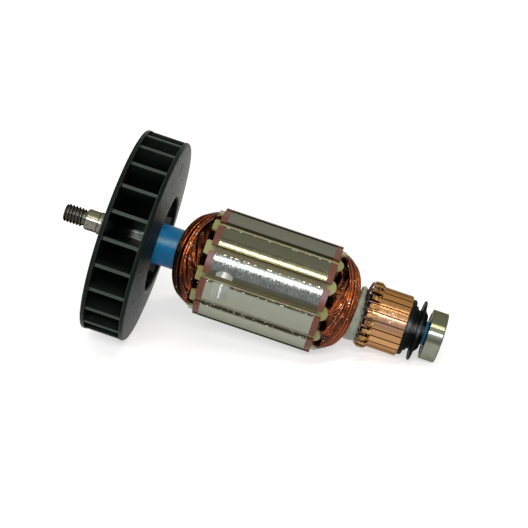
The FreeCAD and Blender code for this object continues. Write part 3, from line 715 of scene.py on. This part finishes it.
def enamelled_wire(name, colour, depth, varnish_share, gap_share=0.92, sparkle=0.3, sunlit=0.2):
    """Copper under brown enamel, each wire a little different, dark where varnish has gathered.
    Painted shade lies in the gaps, and painted highlights and sparkles on the lit side.
    """
    p = Paint(name, metallic=0.8, specular_tint=DARK_EDGE, coat_weight=0.25, coat_roughness=0.06)
    wire = put(p.tree, "NewGeometry").outputs["Random Per Island"]
    p.start(p.ramp(wire, 0.1, 0.9), colour, 0.2, 1.9)
    p.lay(p.mottle(0.3, 0.35, 0.65), shade(colour, 0.6), 0.5)
    p.lay(p.mottle(0.16, 0.5, 0.66), "35140a", varnish_share)
    # Painted shade: a broad darkening of the inner bundles and dark gaps between the wires
    p.lay(p.hollows(0.004, 0.15, 0.75), "26120b", 0.6)
    p.lay(p.hollows(0.0009, 0.35, 0.85), "140806", gap_share)
    # Darker towards the lower side of the drive head
    lower = p.times(p.sector(*WIRE_LOW), p.fall(p.height, *DRIVE_HEAD))
    inner = p.times(p.sector(*WIRE_INNER), p.fall(p.height, *DRIVE_END))
    p.lay(p.times(p.most(lower, inner), p.mottle(0.25, 0.2, 0.45)), "140d0a", 0.85)
    p.lay(p.ramp(p.height, *FAR_HEAD, 0.0, 0.35), "200d08")
    # Painted highlights: lit orange patches and pale sparkles
    lit = p.times(p.sector(*WIRE_LIT), p.mottle(0.4, 0.42, 0.58), p.ramp(wire, 0.45, 0.6))
    p.lay(lit, "d8702a", sunlit)
    p.lay(p.flecks(1.1, 0.17, sparkle), "f4e2c4")
    grain = p.noise(1.5)
    return p.done(p.ramp(grain, 0.3, 0.7, 0.14, 0.26), p.bump(grain, depth, 0.6))


def turned_copper():
    """Bars turned bright, each a little different, with ochre flux on the hooks, painted
    reflection and shade in bands round the bars, and painted shade between them.
    """
    p = Paint("Turned copper", metallic=1.0, specular_tint=SOFT_EDGE)
    copper = chosen("copper")
    lines = p.marks(0.22)
    number = p.maths("FLOOR", p.maths("ADD", p.times(p.turn, BARS), BAR_PHASE))
    bar = put(p.tree, "TexWhiteNoise", {"W": number}, noise_dimensions="1D").outputs["Value"]
    p.start(bar, copper, 0.82, 1.12)
    # Painted reflection: warmer ochre on the upper bars and a pinkish sheen on the bars that face
    # the lamps
    p.bands(((35, 28, 10), "8e6026", 0.7), ((92, 14, 5), "96786a", 0.7))
    # Painted shade that narrows the lamps' reflections
    p.lay(p.sectors(COPPER_DIM), shade(copper, 0.4), 0.6)
    p.lay(lines, shade(copper, 0.6), 0.3)
    flux = p.mixed(p.mottle(0.7, 0.4, 0.6), "6a4826", "b8925c")
    p.lay(p.fall(p.height, *HOOKS), flux, 0.85)
    p.lay(p.times(p.flecks(0.9, 0.22, 0.2), p.fall(p.height, *HOOK_ROOTS)), "c9cdb0")
    p.lay(p.times(p.flecks(0.45, 0.16, 0.3), p.within(p.height, *BRUSH_TRACK)), "f2ead8")
    # Painted shade in the gaps between bars and hooks
    p.lay(p.hollows(0.0006, 0.3, 0.8), "54301a")
    return p.done(p.ramp(p.marks(1.6), 0.3, 0.7, 0.16, 0.24), p.bump(lines, 0.00002, 0.6))


def dark_finish(name, base, bloom, low, high, gleam=0.7):
    """Dull black moulding or rubber with a dusty bloom, paler edges and a painted highlight."""
    p = Paint(name, specular_ior_level=0.05)
    cloud = p.mottle(0.5, 0.4, 0.72)
    p.colour = p.mixed(cloud, base, bloom)
    p.lay(p.edges(), shade(bloom, 2.2), 0.4)
    # Painted highlight: a grey patch where the lamps reflect
    p.lay(p.times(p.sector(*BLACK_GLEAM), p.mottle(0.35, 0.3, 0.6)), "8d9290", gleam)
    return p.done(p.spread(cloud, low, high), p.bump(p.noise(3.0, 4.0), 0.00008, 0.5))


def neck_resin():
    p = Paint("Pale resin and tape", specular_ior_level=0.3, coat_weight=0.2, coat_roughness=0.3)
    resin = chosen("resin")
    cloud = p.mottle(0.5, 0.35, 0.7)
    p.start(cloud, resin, 0.85, 1.2)
    p.lay(p.mottle(0.9, 0.55, 0.7), "55534a", 0.35)
    return p.done(p.spread(cloud, 0.35, 0.6), p.bump(p.noise(1.6, 4.0), 0.0002, 0.5))


def ground_steel():
    """Ground races, with painted highlights and painted shade in bands round them, and painted
    shade on the corners of the outer one.
    """
    p = Paint("Ground bearing steel", metallic=1.0, specular_tint=SOFT_EDGE)
    steel = chosen("bearing")
    lines = p.marks(0.15)
    p.start(p.mottle(0.3, 0.4, 0.7), steel, 1.05, 0.85)
    # Painted shade on the upper side, and painted highlights where the lamps reflect
    p.bands(((38, 34, 8), "54553a", 0.8), ((69.8, 1.4, 1.2), "dcdfcc", 0.75),
            ((86, 2, 2), "e6e8e2", 0.4))
    # Painted shade that narrows the highlights
    p.lay(p.sectors(RACE_DIM), "35382f", 0.6)
    from_middle = p.maths("ABSOLUTE", p.maths("SUBTRACT", p.height, BEARING_HEIGHT))
    # Painted shade on the outer race's rounded corners
    p.lay(p.times(p.ramp(from_middle, *RACE_CORNER), p.ramp(p.radius, *RACE_RADII)), "45483f")
    return p.done(p.ramp(lines, 0.3, 0.7, 0.14, 0.2), p.bump(lines, 0.00001, 0.4))


def mica():
    return cloudy("Mica and dust", "54301c", "8a5c3c", 1.2, 0.35, 0.65, (0.6, 0.85), 0.5)


def cage_plastic():
    return cloudy("Cage plastic", "6b5a3e", "7d6b4c", 1.0, 0.4, 0.7, (0.45, 0.6), 0.3)


def dress(finish, *names):
    """Gives a finish to nodes of the solids."""
    for name in names:
        node = frame["nodes"][name]
        for slot in node.material_slots:
            slot.material = finish
        if not node.material_slots:
            node.data.materials.append(finish)


# Winding strands


def circle_through(first, middle, last):
    """Centre and radius of the circle through three points of a plane."""
    ax, ay = first
    bx, by = middle
    cx, cy = last
    d = 2 * (ax * (by - cy) + bx * (cy - ay) + cx * (ay - by))
    a, b, c = ax * ax + ay * ay, bx * bx + by * by, cx * cx + cy * cy
    x = (a * (by - cy) + b * (cy - ay) + c * (ay - by)) / d
    y = (a * (cx - bx) + b * (ax - cx) + c * (bx - ax)) / d
    return x, y, math.hypot(ax - x, ay - y)


def shell_radius(order):
    low, high = SHELL_BASES
    return low + (high - low) * order / ORDERS


def dome_reach(order, crown):
    """Function from a distance to the shaft line to the reach of a head's outer surface."""
    first = (shell_radius(order), RISER)
    last = (SHELL_INNER, CROWN_FIRST + (crown - CROWN_FIRST) * order / ORDERS)
    run_r, run_z = last[0] - first[0], last[1] - first[1]
    middle = ((first[0] + last[0]) / 2 + DOME_BULGE * run_z,
              (first[1] + last[1]) / 2 - DOME_BULGE * run_r)
    x, y, radius = circle_through(first, middle, last)

    def reach(r):
        return y + math.sqrt(max(radius ** 2 - (r - x) ** 2, 0.0)) if r < first[0] else RISER

    return reach


def strand_plan(order, share, foot_width):
    """Centre height, radius and half turn of a strand's arc in plan. Share runs from -1 to 1."""
    middle = (shell_radius(order) + shell_radius(order + 1)) / 2
    foot = Vector((middle * math.sin(SPAN_HALF), middle * math.cos(SPAN_HALF)))
    centre = (foot.length_squared - BAND_MIDDLE ** 2) / (2 * (foot.y - BAND_MIDDLE))
    out = (foot - Vector((0, centre))).normalized()
    foot = foot + out * share * foot_width / 2
    top = BAND_MIDDLE + share * BAND_WIDTH / 2
    centre = (foot.length_squared - top ** 2) / (2 * (foot.y - top))
    return centre, top - centre, math.atan2(foot.x, foot.y - centre)


def strand_points(order, far_end, first, last, lift, wander, rng, settings):
    """Points of one strand over a head, from the slot on its left to the slot on its right."""
    reach = dome_reach(order + 1, CROWNS[far_end])
    phase, swing = rng.uniform(0, PHASES), rng.uniform(*SWINGS) * wander
    points = []
    for i in range(PATH_POINTS):
        t = 2 * i / (PATH_POINTS - 1) - 1
        share = first + (last - first) * (t + 1) / 2
        share += swing * math.sin(phase + SWAY_RATE * t) / (BAND_WIDTH / 2)
        centre, radius, turn = strand_plan(order, share, settings.foot_width)
        x = radius * math.sin(turn * t)
        y = centre + radius * math.cos(turn * t)
        rise = lift + RISE_SHARE * swing * math.cos(2 * phase + RISE_RATE * t)
        points.append((x, y, reach(math.hypot(x, y)) + rise))
    for side, outer in ((-1, order != 0), (1, order == ORDERS - 1)):
        low, high = LEG_LAYERS[outer]
        depth = rng.uniform(low + LEG_MARGIN, high - LEG_MARGIN)
        across = (first if side < 0 else last) * LEG_SPREAD
        x = side * (depth * math.sin(SPAN_HALF) - across * math.cos(SPAN_HALF))
        y = depth * math.cos(SPAN_HALF) + across * math.sin(SPAN_HALF)
        ends = [(x, y, LEG_TOP), (x, y, LEG_END)]
        points = ends[::-1] + points if side < 0 else points + ends
    return points


def head_point(point, order, far_end, twin):
    """World place of a point of a head, from its plan and its reach beyond the plate."""
    x, y, reach = point
    height = PLATE_FACES[1] + reach if far_end else PLATE_FACES[0] - reach
    turn = COIL_SPAN * SLOT_PITCH / 2 - 90 + SLOT_PHASE + SLOT_PITCH * order + 180 * twin
    spun = Matrix.Rotation(math.radians(turn), 3, "Z") @ Vector((x, y, height))
    return LAY @ spun


def tube_object(name, lines, width):
    """Mesh of round wires along smooth curves, which are given as lists of world points."""
    bpy.ops.object.select_all(action="DESELECT")
    bpy.ops.curve.primitive_nurbs_path_add(location=(0, 0, 0))
    curve = bpy.context.object.data
    curve.splines.clear()
    for points in lines:
        spline = curve.splines.new("NURBS")
        spline.points.add(len(points) - 1)
        for point, place in zip(spline.points, points):
            point.co = (*place, 1.0)
        spline.order_u = 4
        spline.use_endpoint_u = True
    curve.resolution_u = 3
    curve.bevel_depth = width / 2000
    curve.bevel_resolution = 1
    curve.use_fill_caps = True
    bpy.ops.object.convert(target="MESH")
    thing = bpy.context.object
    bpy.ops.object.shade_smooth()
    thing.name = name
    thing.data.name = name
    return thing


def head_strands(order, far_end, twin, rng, settings):
    """Wires of one head: a crowned bundle, a low wire at each side and strays on top."""
    lines = []

    def add(first, last, lift, wander):
        points = strand_points(order, far_end, first, last, lift, wander, rng, settings)
        lines.append([head_point(point, order, far_end, twin) for point in points])

    for i in range(settings.strands):
        share = 2 * i / (settings.strands - 1) - 1
        lift = settings.crown * (1 - share ** 2) - SINK - SECOND_SINK * (i % 2)
        share = BUNDLE_SHARE * share + rng.uniform(-JITTER, JITTER)
        add(share, share, lift, settings.wander)
    for share in (-SIDE_SHARE, SIDE_SHARE):
        add(share, share, SIDE_LIFT, SIDE_WANDER)
    for _ in range(settings.strays):
        first = rng.uniform(-STRAY_START, STRAY_START)
        last = first + rng.uniform(-STRAY_SLANT, STRAY_SLANT)
        last = max(-STRAY_LIMIT, min(STRAY_LIMIT, last))
        lift = settings.crown * (1 - first * last) - STRAY_SINK + STRAY_RISE * settings.wire
        add(first, last, lift, settings.wander)
    return lines


# Resin at the neck and painted shade in the heads


def select_vertices(thing, wanted):
    """Selects the vertices of a mesh in edit mode whose place passes a test."""
    bpy.ops.mesh.select_all(action="DESELECT")
    mesh = bmesh.from_edit_mesh(thing.data)
    for vertex in mesh.verts:
        vertex.select = wanted(vertex.co)
    mesh.select_flush(True)
    bmesh.update_edit_mesh(thing.data)


def lay_down(thing, height):
    """Brings a piece made about the world's Z to its height on the shaft line."""
    thing.matrix_world = Matrix.LocRotScale(
        LAY @ Vector((0, 0, height)), Matrix.Rotation(LAY_ANGLE, 3, "Y"), None)
    bpy.ops.object.select_all(action="DESELECT")
    thing.select_set(True)
    bpy.context.view_layer.objects.active = thing
    bpy.ops.object.transform_apply(location=True, rotation=True, scale=True)


def ring_blank(name, radius, thickness):
    """Smooth ring about the world's Z, in edit mode. Sizes are in millimetres."""
    bpy.ops.object.select_all(action="DESELECT")
    bpy.ops.mesh.primitive_torus_add(
        location=(0, 0, 0), major_segments=60, minor_segments=14,
        major_radius=radius / 1000, minor_radius=thickness / 2000)
    thing = bpy.context.object
    thing.name = name
    thing.data.name = name
    bpy.ops.object.mode_set(mode="EDIT")
    return thing


def poured(thing, height, lumps):
    """Ends edit mode, makes the surface lumpy and lays the ring down at its height."""
    bpy.ops.object.mode_set(mode="OBJECT")
    texture = bpy.data.textures.new("Lumps of " + thing.name, "CLOUDS")
    texture.noise_scale = LUMP_SIZE
    displace = thing.modifiers.new("Lumps", "DISPLACE")
    displace.texture = texture
    displace.strength = lumps / 1000
    smooth = thing.modifiers.new("Smooth", "SUBSURF")
    smooth.levels = smooth.render_levels = 1
    for modifier in (displace.name, smooth.name):
        bpy.ops.object.modifier_apply(modifier=modifier)
    bpy.ops.object.shade_smooth()
    lay_down(thing, height)
    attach(thing, "rotor")
    return thing


def pull(operator, reach, **change):
    """Moves or stretches the selected part of a mesh, and what is near it less and less."""
    operator(use_proportional_edit=True, proportional_edit_falloff="SMOOTH",
             proportional_size=reach, **change)


def resin_ring(settings):
    """Ring of pale resin over the neck band, run down into a lump at its lower side."""
    thing = ring_blank("neck_resin", settings.ring_radius, settings.ring_thickness)
    down = math.radians(TOP_TURN + LOW_TURN)
    low = Vector((math.cos(down), math.sin(down), 0))
    reach = settings.ring_radius / 1000
    select_vertices(thing, lambda place: place.dot(low) > LOW_SHARE * reach)
    pull(bpy.ops.transform.resize, 1.5 * reach, value=(1.0, 1.0, LOW_STRETCH),
         center_override=(0, 0, 0))
    pull(bpy.ops.transform.translate, 1.1 * reach, value=low * settings.lump / 1000)
    pull(bpy.ops.transform.translate, 0.8 * reach, value=(0, 0, LOW_SHIFT))
    return poured(thing, settings.height, lumps=0.7)


def shade_fill(name, height, settings):
    """Flat dark ring between the moulding on the shaft and the innermost wires, as painted shade
    over the gap there.
    """
    thing = ring_blank(name, settings.fill_radius, settings.fill_thickness)
    bpy.ops.mesh.select_all(action="SELECT")
    bpy.ops.transform.resize(value=(1.0, 1.0, FILL_FLATNESS), center_override=(0, 0, 0))
    return poured(thing, height, lumps=0.5)


# Operators


class ARMATURE_OT_shaft(Operator):
    """Turned steel with fine lines and stains"""
    bl_idname = "armature.shaft"
    bl_label = "Shaft"

    def execute(self, context):
        dress(turned_steel(), "shaft")
        return {"FINISHED"}


class ARMATURE_OT_insulation(Operator):
    """Blue moulding on the shaft"""
    bl_idname = "armature.insulation"
    bl_label = "Shaft insulation"

    def execute(self, context):
        dress(blue_moulding(), "shaft_insulation")
        return {"FINISHED"}


class ARMATURE_OT_fan(Operator):
    """Black fan with dusty faces and worn edges"""
    bl_idname = "armature.fan"
    bl_label = "Fan"

    def execute(self, context):
        dress(fan_plastic(), "fan")
        return {"FINISHED"}


class ARMATURE_OT_core(Operator):
    """Ground laminations and the fibre plates at their ends"""
    bl_idname = "armature.core"
    bl_label = "Core and end plates"

    def execute(self, context):
        dress(ground_laminations(), "lamination_stack")
        dress(fibre_plate(), "end_plate_drive", "end_plate_far")
        return {"FINISHED"}


class ARMATURE_OT_slot_parts(Operator):
    """Slot liners and wedges"""
    bl_idname = "armature.slot_parts"
    bl_label = "Slot liners and wedges"

    def execute(self, context):
        dress(slot_paper(), "slot_liners")
        dress(wedge_fibre(), "slot_wedges")
        return {"FINISHED"}


class ARMATURE_OT_coils(Operator):
    """Inner bundle and outer strands of each coil"""
    bl_idname = "armature.coils"
    bl_label = "Coils"

    def execute(self, context):
        settings = context.scene.armature_winding
        wire = chosen("wire")
        bundled = enamelled_wire("Bundled wire", shade(wire, 0.3), depth=0.0002, varnish_share=0.6)
        dress(bundled, *["coil_%02d" % number for number in range(1, 2 * ORDERS + 1)])
        # Painted shade: dark rings that fill the gaps inside the heads
        dark = dark_finish("Dark varnish", tint("1a0b07"), tint("3a1a10"), 0.15, 0.3, gleam=0.0)
        for name, height in SHADE_FILLS:
            fill = shade_fill(name, height, context.scene.armature_resin)
            fill.data.materials.append(dark)
        strand = enamelled_wire("Enamelled wire", wire, depth=0.00004, varnish_share=0.5)
        rng = random.Random(settings.seed)
        for twin in (0, 1):
            for order in range(ORDERS):
                lines = []
                for far_end in (0, 1):
                    lines += head_strands(order, far_end, twin, rng, settings)
                name = "coil_strands_%02d" % (order + 1 + ORDERS * twin)
                piece = tube_object(name, lines, settings.wire)
                piece.data.materials.clear()
                piece.data.materials.append(strand)
                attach(piece, "rotor")
        return {"FINISHED"}


class ARMATURE_OT_commutator(Operator):
    """Copper bars, mica and the moulded hub"""
    bl_idname = "armature.commutator"
    bl_label = "Commutator"

    def execute(self, context):
        dress(turned_copper(), "commutator_bars")
        dress(mica(), "mica_strips")
        black = chosen("rubber")
        moulding = dark_finish("Black moulding", black, shade(black, 2.6), 0.45, 0.7)
        dress(moulding, "commutator_body")
        return {"FINISHED"}


class ARMATURE_OT_leads(Operator):
    """Lead wires, and the band and the resin round them"""
    bl_idname = "armature.leads"
    bl_label = "Lead wires, neck band and resin"

    def execute(self, context):
        finish = enamelled_wire("Lead wire", tint("a58178"), depth=0.00004, varnish_share=0.3,
                                gap_share=0.5, sparkle=0.25, sunlit=0.0)
        dress(finish, "lead_wires")
        resin = neck_resin()
        dress(resin, "neck_band")
        ring = resin_ring(context.scene.armature_resin)
        ring.data.materials.append(resin)
        return {"FINISHED"}


class ARMATURE_OT_dust_ring(Operator):
    """Rubber dust ring"""
    bl_idname = "armature.dust_ring"
    bl_label = "Dust ring"

    def execute(self, context):
        black = chosen("rubber")
        dress(dark_finish("Rubber", shade(black, 0.8), shade(black, 2.2), 0.42, 0.7), "dust_ring")
        return {"FINISHED"}


class ARMATURE_OT_bearing(Operator):
    """Ball bearing"""
    bl_idname = "armature.bearing"
    bl_label = "Ball bearing"

    def execute(self, context):
        steel = ground_steel()
        dress(steel, "bearing_inner_race", "bearing_outer_race", "bearing_balls")
        dress(dark_finish("Bearing shield", tint("34372f"), tint("55584c"), 0.3, 0.5),
              "bearing_shield_near", "bearing_shield_far")
        dress(cage_plastic(), "bearing_cage")
        return {"FINISHED"}


def background_rays(tree):
    """One for the rays that see the background: from the camera, and through gloss or glass."""
    path = put(tree, "LightPath").outputs
    seen = maths(tree, "MAXIMUM", path["Is Camera Ray"], path["Is Glossy Ray"])
    return maths(tree, "MAXIMUM", seen, path["Is Transmission Ray"])


def floor_finish():
    made, tree, sockets = new_material(
        "Pale floor", base_color=(0.8, 0.8, 0.8, 1.0), roughness=1.0, specular_ior_level=0.0,
        emission_color=(1.0, 1.0, 1.0, 1.0))
    glow = maths(tree, "MULTIPLY", background_rays(tree), FLOOR_GLOW)
    tree.links.new(glow, sockets["Emission Strength"])
    return made


def aimed(thing, way):
    """Turns a lamp or a camera to look along a direction."""
    thing.rotation_euler = way.to_track_quat("-Z", "Y").to_euler()


def lamp(name, place, size, colour, power):
    bpy.ops.object.light_add(type="AREA", location=place)
    made = bpy.context.object
    made.name = name
    made.data.shape = "RECTANGLE"
    made.data.size, made.data.size_y = size
    made.data.color = colour
    made.data.energy = power
    aimed(made, Vector(LAMP_AIM) - Vector(place))


class ARMATURE_OT_stage(Operator):
    """Pale floor, soft lamps, surroundings and the camera"""
    bl_idname = "armature.stage"
    bl_label = "Stage"

    def execute(self, context):
        scene = context.scene
        bpy.ops.mesh.primitive_plane_add(size=FLOOR_SIZE, location=(0, 0, 0))
        floor = context.object
        floor.name = "floor"
        floor.data.materials.append(floor_finish())

        world = bpy.data.worlds.new("Pale surroundings")
        scene.world = world
        world.use_nodes = True
        tree = world.node_tree
        light = scene.armature_light
        back = tree.nodes["Background"]
        back.inputs["Color"].default_value = (1.0, 1.0, 1.0, 1.0)
        strength = ramp(tree, background_rays(tree), 0.0, 1.0, light.world, 1.0)
        tree.links.new(strength, back.inputs["Strength"])
        for name, place, size, colour in LAMPS:
            lamp(name + "_lamp", place, size, colour, getattr(light, name))

        view = scene.armature_view
        a, e = view.azimuth, view.elevation
        back_way = Vector((math.sin(a) * math.cos(e), -math.cos(a) * math.cos(e), math.sin(e)))
        bpy.ops.object.camera_add(location=Vector(view.aim) + back_way * view.distance)
        camera = context.object
        camera.name = "photo_camera"
        aimed(camera, -back_way)
        camera.data.lens = view.focal_length
        camera.data.sensor_width = SENSOR_WIDTH
        camera.data.clip_start = NEAREST
        scene.camera = camera
        scene.view_settings.view_transform = "Standard"
        return {"FINISHED"}


OPERATORS = (
    ARMATURE_OT_shaft,
    ARMATURE_OT_insulation,
    ARMATURE_OT_fan,
    ARMATURE_OT_core,
    ARMATURE_OT_slot_parts,
    ARMATURE_OT_coils,
    ARMATURE_OT_commutator,
    ARMATURE_OT_leads,
    ARMATURE_OT_dust_ring,
    ARMATURE_OT_bearing,
    ARMATURE_OT_stage,
)


class ARMATURE_PT_pieces(Panel):
    """Pieces of the armature"""
    bl_idname = "ARMATURE_PT_pieces"
    bl_label = "Motor armature"
    bl_space_type = "VIEW_3D"
    bl_region_type = "UI"
    bl_category = "Armature"

    def draw(self, context):
        for operator in OPERATORS:
            self.layout.operator(operator.bl_idname, text=operator.bl_label)


SETTINGS = (
    ("armature_view", ViewSettings),
    ("armature_winding", WindingSettings),
    ("armature_resin", ResinSettings),
    ("armature_finish", FinishSettings),
    ("armature_light", LightSettings),
)


def register():
    for name, group in SETTINGS:
        bpy.utils.register_class(group)
        setattr(bpy.types.Scene, name, PointerProperty(type=group))
    for operator in OPERATORS:
        bpy.utils.register_class(operator)
    bpy.utils.register_class(ARMATURE_PT_pieces)


def unregister():
    bpy.utils.unregister_class(ARMATURE_PT_pieces)
    for operator in reversed(OPERATORS):
        bpy.utils.unregister_class(operator)
    for name, group in reversed(SETTINGS):
        delattr(bpy.types.Scene, name)
        bpy.utils.unregister_class(group)


def main():
    register()
    build_groups()
    for operator in OPERATORS:
        group, name = operator.bl_idname.split(".")
        getattr(getattr(bpy.ops, group), name)()


if __name__ == "__main__":
    main()
